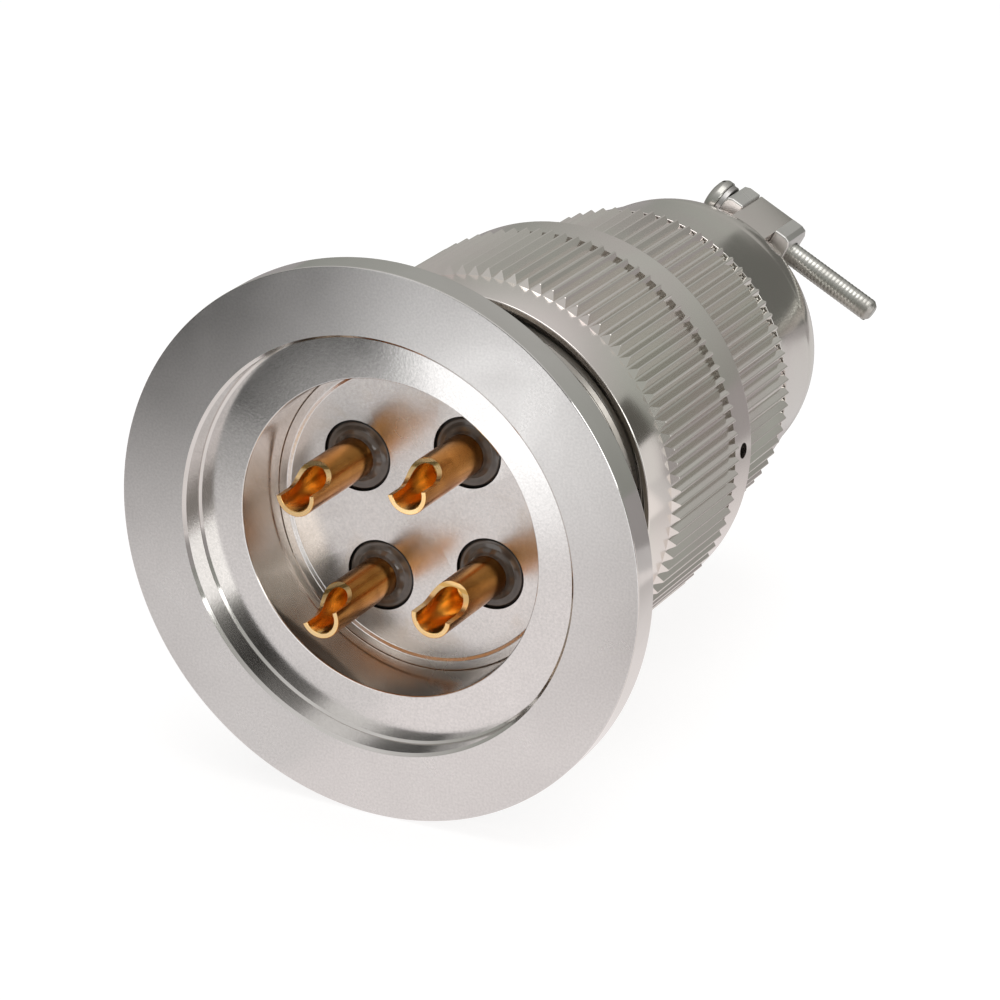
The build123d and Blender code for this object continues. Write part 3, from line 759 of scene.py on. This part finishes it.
# %% Turn the beads
glass_face = 10.0
pin_radius = 2.05
groove = bead_radius - 0.3
bead_edge = finish("shadowed glass edge", (0.012, 0.010, 0.009), (0.02, 0.017, 0.015), 0.3, 0.4,
                   metal=0.0, bump=None)
for number, centre in enumerate(pin_centres, 1):
    bm = bmesh.new()
    spin_outline(bm, [(pin_radius, glass_face - 0.75), (pin_radius + 0.16, glass_face - 0.42),
                      (pin_radius + 0.55, glass_face - 0.06), (pin_radius + 1.0, glass_face),
                      (groove, glass_face), (bead_radius - 0.02, glass_face + 0.22),
                      (bead_radius - 0.02, header_back - 0.15), (pin_radius, header_back - 0.15)],
                 72, rounding=0.06, sharp=(0, 6, 7), centre=centre)
    finish_piece(bm, f"bead_{number}", bead_glass(number, centre), "feedthrough",
                 [f"glass_seal_{number}"], crease=50,
                 others=[(bead_edge, lambda face: off_axis(face, centre) > groove)])

# %% [markdown]
# ## Pins with solder cups
#
# A pin is turned, drilled from its end, and one side of the hole is milled away so that a wire
# can be laid in and soldered. The milling is a straight run and then a curve that climbs out, cut
# here with a boolean from a thick plate of that outline. A bevel afterwards gives the thin edges
# round the cup, which a pale gold paints bright as a painted highlight.

# %% Turn, drill and mill the pins
cup_front = -2.0
cup_bore = 1.55
cup_floor = 6.0
contact_radius = 1.75
contact_tip = 29.0
cup_turns = [14, 8, 27, -8]
mill_run = 2.0
mill_radius = 2.4
mill_height = 2.35
mill = [(-0.5, 0), (mill_run, 0)]
mill += [(mill_run + mill_radius * sin(radians(a)), mill_height * (1 - cos(radians(a))))
         for a in range(9, 91, 9)]
mill += [(-0.5, mill_height)]
for number, (centre, lean) in enumerate(zip(pin_centres, cup_turns), 1):
    bm = bmesh.new()
    spin_outline(bm, [(0, cup_floor + 0.5), (cup_bore, cup_floor), (cup_bore, cup_front),
                      (pin_radius, cup_front), (pin_radius, header_back),
                      (contact_radius, header_back), (contact_radius, contact_tip - 0.9),
                      (contact_radius - 0.6, contact_tip), (0, contact_tip)],
                 72, rounding=0.05, sharp=(0, 8), centre=centre)
    plate = bmesh.new()
    face = plate.faces.new([plate.verts.new(Vector((-2.5, depth, height)) * mm)
                            for depth, height in mill])
    grown = bmesh.ops.extrude_face_region(plate, geom=[face], use_keep_orig=True)
    moved = [item for item in grown["geom"] if isinstance(item, bmesh.types.BMVert)]
    bmesh.ops.translate(plate, vec=(5 * mm, 0, 0), verts=moved)
    bmesh.ops.transform(plate, verts=plate.verts[:],
                        matrix=Matrix.Translation(centre + Vector((0, cup_front * mm, 0)))
                        @ Matrix.Rotation(-radians(lean), 4, "Y"))
    bm = cut_away(bm, plate)
    soften_edges(bm, 0.07, 2, 40)
    # The pins' outsides get the darker gold as painted shade, and the milled edges round the cups
    # the pale gold as a painted highlight.
    finish_piece(bm, f"pin_{number}", gold_plate, "feedthrough",
                 [f"contact_pin_{number}"],
                 others=[(shaded_gold, lambda face: off_axis(face, centre) > 2.0),
                         (highlighted_gold, lambda face: cup_bore + 0.04 < off_axis(face, centre) <= 2.0
                          and face.calc_center_median().y < header_face * mm)])
print("cups turned by", cup_turns, "degrees")

# %% [markdown]
# ## Knurled nuts
#
# Both nuts carry a straight knurl: long V teeth pressed in along the axis, with a sloping start
# where the roller ran in. One tooth is a block whose top is drawn narrower and shorter than its
# foot. Spinning it with duplicates sets the whole ring of teeth on the turned body, far cheaper
# than cutting every groove. The small walls where the grooves of the coupling nut end are given a
# darker steel: painted shade in those corners.

# %% Helper for the knurl
def add_knurl(bm, root, tip, teeth, front, back, run_in):
    """Set a ring of teeth on a root radius between two depths."""
    sunk = 0.15
    run_out = 0.02
    flat_share = 0.1
    foot = 2 * pi * root / teeth
    crown = 2 * pi * tip / teeth * flat_share
    tooth = bmesh.ops.create_cube(bm, size=1)["verts"]
    for vert in tooth:
        top = vert.co.x > 0
        rear = vert.co.y > 0
        radius = tip if top else root - sunk
        width = crown if top else foot
        depth = (back - run_out * top) if rear else (front + run_in * top)
        vert.co = Vector((radius, depth, width / 2 * (1 if vert.co.z > 0 else -1))) * mm
    middle = (front + back) / 2 * mm
    edges = list({edge for vert in tooth for edge in vert.link_edges
                  if all(end.co.x > (root + tip) / 2 * mm for end in edge.verts)
                  and any(end.co.y < middle for end in edge.verts)})
    shaped = bmesh.ops.bevel(bm, geom=edges, offset=0.05 * mm, offset_type="OFFSET", segments=1,
                             profile=0.5, affect="EDGES", material=-1)
    faces = list({face for vert in tooth + shaped["verts"] if vert.is_valid
                  for face in vert.link_faces})
    geom = list({vert for face in faces for vert in face.verts})
    geom += list({edge for face in faces for edge in face.edges}) + faces
    bmesh.ops.spin(bm, geom=geom, cent=(0, 0, 0), axis=(0, 1, 0), dvec=(0, 0, 0),
                   angle=2 * pi * (teeth - 1) / teeth, steps=teeth - 1, use_merge=False,
                   use_normal_flip=False, use_duplicate=True)


# %% Coupling nut
nut_front = 19.0
lip_radius = 19.46
knurl_front = 22.6
knurl_root = 20.05
knurl_tip = 20.8
band_front = 36.7
band_radius = 20.4
nut_back = 40.5
nut_bore = 17.7
hub_radius = 15.95
web_front = 37.5
lip_wall = 0.55
lip_depth = 1.6
wire_hole_angle = 1
wire_hole_radius = 0.8
wire_hole_depth = 38.6
bm = bmesh.new()
spin_outline(bm, [(lip_radius - lip_wall, nut_front), (lip_radius, nut_front),
                  (knurl_root, knurl_front), (knurl_root, band_front), (band_radius, band_front),
                  (band_radius, nut_back), (hub_radius, nut_back), (hub_radius, web_front),
                  (nut_bore, web_front), (nut_bore, nut_front + lip_depth),
                  (lip_radius - lip_wall, nut_front + lip_depth)],
             276, rounding=0.1, sharp=(2, 3, 4, 8))
wire_way = Vector((cos(radians(wire_hole_angle)), 0, sin(radians(wire_hole_angle))))
hole = bmesh.new()
hole_place = (wire_way * band_radius + Vector((0, wire_hole_depth, 0))) * mm
bmesh.ops.create_cone(hole, cap_ends=True, segments=48, radius1=wire_hole_radius * mm,
                      radius2=wire_hole_radius * mm, depth=6 * mm,
                      matrix=Matrix.Translation(hole_place)
                      @ wire_way.to_track_quat("Z", "Y").to_matrix().to_4x4())
bm = cut_away(bm, hole)
add_knurl(bm, knurl_root, knurl_tip, 92, knurl_front, band_front, 0.62)
# The walls where the knurl's grooves end get the darker steel: painted shade in those corners.
finish_piece(bm, "knurled_coupling_nut", bright_nickel, "coupling_nut",
             ["coupling_nut"],
             others=[(painted_shade_steel, lambda face: face.normal.y < -0.8 and off_axis(face) > knurl_root
                      and abs(face.calc_center_median().y - band_front * mm) < 0.05 * mm)])

# %% Union nut
union_front = 40.9
union_back = 56.9
union_root = 16.65
union_tip = 17.3
union_bore = 14.7
bell_neck = 14.3
neck_room = 0.05
union_web = 2.9
bm = bmesh.new()
spin_outline(bm, [(union_bore, union_front), (union_root, union_front), (union_root, union_back),
                  (bell_neck + neck_room, union_back),
                  (bell_neck + neck_room, union_back - union_web),
                  (union_bore, union_back - union_web)], 228, rounding=0.1, sharp=(2,))
add_knurl(bm, union_root, union_tip, 76, union_front + 0.1, union_back - 0.03, 0.4)
finish_piece(bm, "knurled_union_nut", bright_nickel, "union_nut", ["union_nut"])

# %% [markdown]
# ## Tail with two ears
#
# The tail is a hollow bell that narrows towards the cable. Two ears stand out of its end to carry
# the cable clamp. Each ear is a block with its rear corners rounded, drilled for the clamp screw
# before it joins the bell.

# %% Directions of the cable clamp
clamp_lean = 28.6
screw_way = Vector((cos(radians(clamp_lean)), 0, -sin(radians(clamp_lean))))
screw_side = Vector((sin(radians(clamp_lean)), 0, cos(radians(clamp_lean))))
screw_depth = 73.3
screw_offset = 12.9
clamp_axes = Matrix((Vector((0, 1, 0)), screw_way, -screw_side)).transposed().to_4x4()


def clamp_place(side):
    """Local X runs along the connector, local Y along a clamp screw, through its centre."""
    place = clamp_axes.copy()
    place.translation = (screw_side * side * screw_offset + Vector((0, screw_depth, 0))) * mm
    return place


def drill(radius, length):
    """A closed rod along the clamp screws, at both of them, to cut holes with."""
    bm = bmesh.new()
    for side in (1, -1):
        bmesh.ops.create_cone(bm, cap_ends=True, segments=64, radius1=radius * mm,
                              radius2=radius * mm, depth=length * mm,
                              matrix=clamp_place(side) @ Matrix.Rotation(pi / 2, 4, "X"))
    return bm


def block(bm, low, high, rounding, segments=4, chosen=None):
    """A box between two corners in millimetres, its chosen edges rounded."""
    middle = (Vector(low) + Vector(high)) / 2 * mm
    size = (Vector(high) - Vector(low)) * mm
    verts = bmesh.ops.create_cube(bm, size=1)["verts"]
    for vert in verts:
        vert.co = middle + Vector([half * whole for half, whole in zip(vert.co, size)])
    edges = {edge for vert in verts for edge in vert.link_edges}
    if chosen:
        edges = {edge for edge in edges if chosen((edge.verts[0].co + edge.verts[1].co) / 2 / mm)}
    bmesh.ops.bevel(bm, geom=list(edges), offset=rounding * mm, offset_type="OFFSET",
                    segments=segments, profile=0.5, affect="EDGES", material=-1)


# %% Turn the bell and set its ears on
neck_front = 49.4
groove_front = 52.8
groove_back = 53.9
groove_radius = bell_neck - 0.75
bell_front = 57.0
bell_front_radius = 16.9
cone_back = 66.2
cone_radius = 15.35
bell_back = 70.7
bell_back_radius = 13.6
bell_bore = 12.4
outlet_radius = 7.5
ear_half = 2.15
ear_inner = 10.3
ear_outer = 14.9
ear_back = 76.8
bm = bmesh.new()
for side in (1, -1):
    block(bm, (cone_back, -ear_half, min(side * ear_inner, side * ear_outer)),
          (ear_back, ear_half, max(side * ear_inner, side * ear_outer)), 1.0, 5,
          lambda middle: middle.x > ear_back - 0.1 and (abs(middle.z) > ear_outer - 0.1
                                                        or abs(middle.y) > 0.1))
bmesh.ops.transform(bm, matrix=clamp_axes, verts=bm.verts[:])
ears = cut_away(bm, drill(1.45, 12))
bm = bmesh.new()
shoulder = [(cone_radius - (cone_radius - bell_back_radius) * (1 - cos(radians(a))),
             cone_back + (bell_back - 0.4 - cone_back) * sin(radians(a))) for a in range(0, 91, 5)]
spin_outline(bm, [(bell_neck, neck_front), (bell_neck, groove_front),
                  (groove_radius, groove_front), (groove_radius, groove_back),
                  (bell_neck, groove_back), (bell_neck, bell_front),
                  (bell_front_radius, bell_front)] + shoulder
             + [(bell_back_radius - 0.4, bell_back), (outlet_radius, bell_back),
                (outlet_radius, bell_back - 3), (bell_bore - 1.5, bell_back - 3),
                (bell_bore, cone_back - 3), (bell_bore, neck_front)], 192, rounding=0.1,
             sharp=range(7, 26))
ears_mesh = bpy.data.meshes.new("ears")
ears.to_mesh(ears_mesh)
ears.free()
bm.from_mesh(ears_mesh)
bpy.data.meshes.remove(ears_mesh)
finish_piece(bm, "tail_with_ears", bright_nickel, "tail", ["endbell"])

# %% [markdown]
# ## Cable clamp
#
# Two pressed bars lie against the ears, each with an arch over the cable. An arch is drawn as a
# flat outline, pushed out to its width and softened along its edges. The one on the far side is
# tapped and the one on the near side is drilled clear.

# %% Shape the clamp bars
saddle_front = 71.0
saddle_back = 75.6
saddle_outer = 15.2
saddle_face = 4.3
arch_inner = 6.95
arch_outer = 9.15


def arch(radius, start, steps=22):
    """Points of an arc from one side of the cable to the other, above a start height."""
    first = math.asin(start / radius)
    angles = [first + (pi - 2 * first) * step / steps for step in range(steps + 1)]
    return [(radius * sin(angle), radius * cos(angle)) for angle in angles]


def clamp_bar(name, side, hole, body):
    """One bar with its lugs and arch, on the side that the screws point to or the other."""
    outline = arch(arch_outer, saddle_face)
    outline += [(saddle_face, -saddle_outer + 0.8), (saddle_face - 0.23, -saddle_outer + 0.23),
                (saddle_face - 0.8, -saddle_outer), (ear_half, -saddle_outer)]
    outline += arch(arch_inner, ear_half)[::-1]
    outline += [(ear_half, saddle_outer), (saddle_face - 0.8, saddle_outer),
                (saddle_face - 0.23, saddle_outer - 0.23), (saddle_face, saddle_outer - 0.8)]
    bm = bmesh.new()
    face = bm.faces.new([bm.verts.new((screw_way * out * side + screw_side * along
                                       + Vector((0, saddle_front, 0))) * mm)
                         for out, along in outline])
    grown = bmesh.ops.extrude_face_region(bm, geom=[face], use_keep_orig=True)
    moved = [item for item in grown["geom"] if isinstance(item, bmesh.types.BMVert)]
    bmesh.ops.translate(bm, vec=(0, (saddle_back - saddle_front) * mm, 0), verts=moved)
    bmesh.ops.recalc_face_normals(bm, faces=bm.faces[:])
    soften_edges(bm, 0.18, 3, 50)
    bm = cut_away(bm, drill(hole, 14))
    finish_piece(bm, f"{name}_bar", clamp_nickel, body, [name])


clamp_bar("fixed_saddle", 1, 1.3, "tail")
clamp_bar("moving_saddle", -1, 1.45, "clamp_bar")

# %% Turn the screws and bend their washers
head_seat = 4.9
head_radius = 2.4
screw_core = 1.18
screw_crest = 1.21
screw_pitch = 0.45
washer_bore = 1.45
washer_edge = 2.25
washer_split = 0.25 / 1.85  # half the gap over the washer's middle radius, in radians
for number, side, tail in ((1, 1, 11.0), (2, -1, 8.0)):
    screw_end = saddle_face + tail
    bm = bmesh.new()
    spin_outline(bm, [(0, -head_seat - 1.5), (1.3, -head_seat - 1.45), (2.05, -head_seat - 1.2),
                      (head_radius, -head_seat - 0.7), (head_radius, -head_seat),
                      (screw_core, -head_seat), (screw_core, screw_end - 0.5), (0.75, screw_end),
                      (0, screw_end)],
                 48, rounding=0.14, sharp=(0, 8))
    slot = bmesh.new()
    block(slot, (-0.3, -head_seat - 2, -3), (0.3, -head_seat - 0.8, 3), 0.02, 1)
    bm = cut_away(bm, slot)
    add_thread(bm, screw_crest, screw_crest - screw_core, screw_pitch, -head_seat + 0.6,
               screw_end - 0.3, steps=40)
    bmesh.ops.transform(bm, matrix=clamp_place(side), verts=bm.verts[:])
    finish_piece(bm, f"clamp_screw_turned_{number}", screw_steel, f"clamp_screw_{number}",
                 [f"clamp_screw_{number}"])
    bm = bmesh.new()
    edges = add_outline(bm, [(washer_bore, 0.01), (washer_edge, 0.01), (washer_edge, 0.59),
                             (washer_bore, 0.59)], 0.06)
    verts = list({vert for edge in edges for vert in edge.verts})
    bmesh.ops.rotate(bm, cent=(0, 0, 0), verts=verts,
                     matrix=Matrix.Rotation(pi + washer_split, 3, "Y"))
    bmesh.ops.spin(bm, geom=verts + edges, cent=(0, 0, 0), axis=(0, 1, 0), dvec=(0, 0, 0),
                   angle=2 * (pi - washer_split), steps=60, use_merge=False,
                   use_normal_flip=False, use_duplicate=False)
    bmesh.ops.holes_fill(bm, edges=[edge for edge in bm.edges if edge.is_boundary], sides=0)
    bmesh.ops.translate(bm, vec=(0, -head_seat * mm, 0), verts=bm.verts[:])
    bmesh.ops.transform(bm, matrix=clamp_place(side), verts=bm.verts[:])
    finish_piece(bm, f"lock_washer_bent_{number}", spring_steel, "clamp_bar",
                 [f"lock_washer_{number}"])

# %% [markdown]
# ## Rubber bush and plug barrel
#
# The bush is moulded rubber, so its corners are rounder. The plug barrel is mostly hidden inside
# the nut. It shows its rear thread when the tail is taken off.

# %% Mould the bush
bush_front = 65.7
bush_back = 76.7
cable_hole = 5.2
head_edge = 9.2
head_back = bell_back - 3
bush_neck = outlet_radius - 0.02
bush_sleeve = 6.55
bm = bmesh.new()
spin_outline(bm, [(cable_hole, bush_front), (head_edge, bush_front), (head_edge, head_back),
                  (bush_neck, head_back), (bush_neck, bell_back), (bush_sleeve, bell_back),
                  (bush_sleeve, bush_back), (cable_hole, bush_back)], 96, rounding=0.25)
finish_piece(bm, "moulded_bush", black_rubber, "tail", ["cable_bush"])

# %% Turn the plug barrel
insert_radius = 13.2
insert_lip = 0.5
nose_radius = 14.95
nose_front = 17.0
collar_front = 34.7
collar_back = 36.7
collar_radius = 17.6
hub_seat = 15.9
rear_core = 14.1
rear_crest = 14.6
barrel_back = 49.2
key_half = 1.3
bm = bmesh.new()
spin_outline(bm, [(insert_radius - insert_lip, nose_front), (nose_radius - 0.3, nose_front),
                  (nose_radius, nose_front + 0.3), (nose_radius, collar_front),
                  (collar_radius, collar_front), (collar_radius, collar_back),
                  (hub_seat, collar_back), (hub_seat, union_front), (rear_core, union_front),
                  (rear_core, barrel_back), (insert_radius, barrel_back),
                  (insert_radius, nose_front + 0.8),
                  (insert_radius - insert_lip, nose_front + 0.8)], 192, rounding=0.1)
block(bm, (-key_half, nose_front + 1.1, nose_radius - 0.3),
      (key_half, collar_front, nose_radius + 0.95), 0.15, 2)
add_thread(bm, rear_crest, rear_crest - rear_core, fine_pitch, union_front + 0.2, barrel_back - 0.2)
finish_piece(bm, "turned_plug_barrel", bright_nickel, "plug", ["plug_shell"])

# %% [markdown]
# ## Pieces that keep their solids
#
# The seals, insulators, contacts and rings inside are plain shapes that only show when the
# connector is taken apart. Their solids stay and get finishes of their own.

# %% Finish the inner pieces
inner_finishes = {
    "interface_gasket": black_rubber,
    "front_insulator": hard_plastic,
    "rear_insulator": soft_silicone,
    "insulator_retaining_ring": bright_nickel,
    "thrust_washer": washer_plastic,
    "nut_retaining_ring": spring_steel,
    "union_retaining_ring": spring_steel,
}
for number in range(1, 5):
    inner_finishes[f"socket_contact_{number}"] = gold_plate
for name, material in inner_finishes.items():
    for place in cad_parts[name].material_slots:
        place.material = material
print(len(inner_finishes), "inner pieces finished")

# %% [markdown]
# ## Last settings
#
# The Standard view shows colours about as they are written.

# %% Set the view
bpy.context.scene.view_settings.view_transform = "Standard"
bpy.context.view_layer.update()
